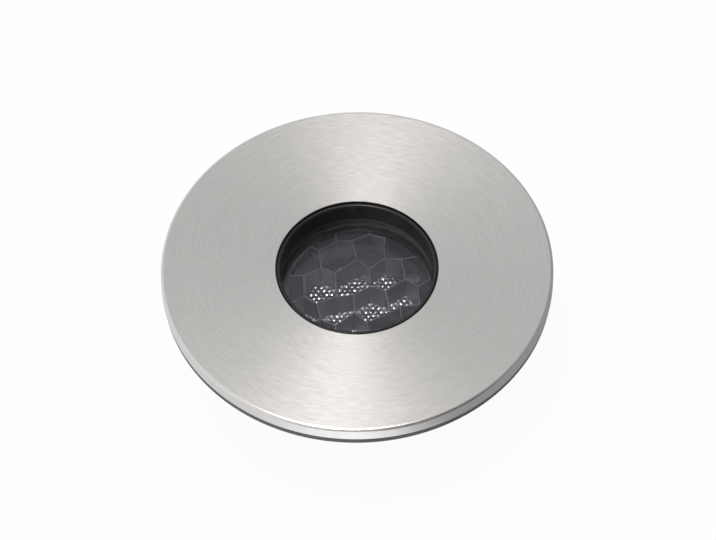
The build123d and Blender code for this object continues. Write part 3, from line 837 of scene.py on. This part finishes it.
def make_camera():
    lens = bpy.data.cameras.new("camera")
    lens.sensor_width = SENSOR_MM
    lens.lens = CAMERA_FOCAL_PX / IMAGE_WIDTH_PX * SENSOR_MM
    lens.clip_start = 0.05
    lens.clip_end = 20.0
    camera = added("camera", lens)
    up = radians(CAMERA_ELEVATION)
    back = Vector((0, -cos(up), sin(up)))
    image_up = Vector((0, sin(up), cos(up)))
    per_px = CAMERA_DISTANCE / CAMERA_FOCAL_PX
    right_px, down_px = CENTRE_SHIFT_PX
    aim = Vector((right_px * per_px, 0, TRIM_TOP)) - image_up * down_px * per_px
    camera.location = (aim + back * CAMERA_DISTANCE) * MM
    roll = Quaternion((0, 0, 1), radians(CAMERA_ROLL))
    camera.rotation_euler = (back.to_track_quat("Z", "Y") @ roll).to_euler()
    bpy.context.scene.camera = camera


# ---------------------------------------------------------------- studio
ROOM_LEVEL = 0.8
CEILING = (0.05, 0.25, 1.0, 0.76)  # upward parts of a direction, and the light's levels at them
UNLIT_RIGHT = (0.15, 0.75, 1.0, 0.36)  # the same for its part to the right,
UNLIT_BEHIND = (0.48, 0.86, 1.0, 0.15)  # and for its part towards the photographer
PHOTOGRAPHER = (0.25, -0.80, 0.54)

LAMP_TOWARDS = (-0.12, -0.22, 1.0)
LAMP_DISTANCE = 1500.0
LAMP_WIDTH = 360.0
LAMP_LENGTH = 600.0
LAMP_WATTS = 13.5
LAMP_COLOUR = (1.0, 0.955, 0.935)

FLOOR_HALF = 6000.0
FLOOR_GAP = 0.2
PAPER_GREY = 0.86
PAPER_GLOW = 0.96
LEFT_PAPER_PAINTED_SHADE = (-70.0, -15.0, 0.62, 1.0)  # places across the floor, and how bright metal mirrors them: a painted shade towards the sides
RIGHT_PAPER_PAINTED_SHADE = (0.0, 62.0, 1.0, 0.26)


def make_world():
    """A white backdrop for the camera, and a softer room that lights the object."""
    world = bpy.data.worlds.new("studio")
    bpy.context.scene.world = world
    tree = cleared_tree(world)
    towards = node(tree, "TexCoord").outputs["Generated"]
    axes = node(tree, "SeparateXYZ", {0: towards}).outputs
    facing = node(tree, "VectorMath", {0: towards, 1: PHOTOGRAPHER}, operation="DOT_PRODUCT")
    above = spread(tree, axes[2], *CEILING)
    right = spread(tree, axes[0], *UNLIT_RIGHT)
    behind = spread(tree, facing.outputs["Value"], *UNLIT_BEHIND)
    lit = calc(tree, "MULTIPLY", above, calc(tree, "MULTIPLY", right, behind))
    seen = node(tree, "LightPath").outputs["Is Camera Ray"]
    strength = spread(tree, seen, 0.0, 1.0, calc(tree, "MULTIPLY", lit, ROOM_LEVEL), 1.0)
    shine = node(tree, "Background", {"Color": grey(1.0), "Strength": strength})
    out = node(tree, "OutputWorld")
    tree.links.new(shine.outputs[0], out.inputs["Surface"])


def make_lamp():
    data = bpy.data.lights.new("overhead", "AREA")
    data.shape = "RECTANGLE"
    data.size = LAMP_WIDTH * MM
    data.size_y = LAMP_LENGTH * MM
    data.energy = LAMP_WATTS
    data.color = LAMP_COLOUR
    lamp = added("overhead", data)
    direction = Vector(LAMP_TOWARDS).normalized()
    lamp.location = direction * (LAMP_DISTANCE * MM)
    lamp.rotation_euler = direction.to_track_quat("Z", "Y").to_euler()


def paper_floor():
    """White paper, evenly white to the camera; the glow that metal mirrors is painted darker towards both
    sides, a painted shade in its reflections.
    """
    made = bpy.data.materials.new("studio_floor")
    tree = cleared_tree(made)
    paper = node(tree, "BsdfDiffuse", {"Color": grey(PAPER_GREY)})
    path = node(tree, "LightPath").outputs
    glossy = path["Is Glossy Ray"]
    across = node(tree, "SeparateXYZ", {0: place(tree)}).outputs[0]
    left = spread(tree, across, *LEFT_PAPER_PAINTED_SHADE)
    right = spread(tree, across, *RIGHT_PAPER_PAINTED_SHADE)
    # painted shade: for glossy rays the paper's glow is painted darker towards both sides
    strength = spread(tree, glossy, 0.0, 1.0, 1.0, calc(tree, "MULTIPLY", left, right))
    glow = node(tree, "Emission", {"Strength": strength})
    bounced = calc(tree, "MAXIMUM", glossy, path["Is Transmission Ray"])
    seen = calc(tree, "MAXIMUM", path["Is Camera Ray"], bounced)
    share = calc(tree, "MULTIPLY", seen, PAPER_GLOW)
    mixed = node(tree, "MixShader", {0: share, 1: paper.outputs[0], 2: glow.outputs[0]})
    out = node(tree, "OutputMaterial")
    tree.links.new(mixed.outputs[0], out.inputs["Surface"])
    return made


def make_floor():
    mesh = bpy.data.meshes.new("floor")
    half = FLOOR_HALF * MM
    z = (FLOOR_Z - FLOOR_GAP) * MM
    corners = [(-half, -half, z), (half, -half, z), (half, half, z), (-half, half, z)]
    mesh.from_pydata(corners, [], [(0, 1, 2, 3)])
    floor = added("floor", mesh)
    mesh.materials.append(paper_floor())


# ---------------------------------------------------------------- build
for name, piece in NODES.items():
    dress(piece, SLOT_OF[name])
make_trim()
make_pane()
make_louvre()
make_louvre_packing()
make_lens()
make_camera()
make_world()
make_lamp()
make_floor()
bpy.context.scene.view_settings.view_transform = "Standard"
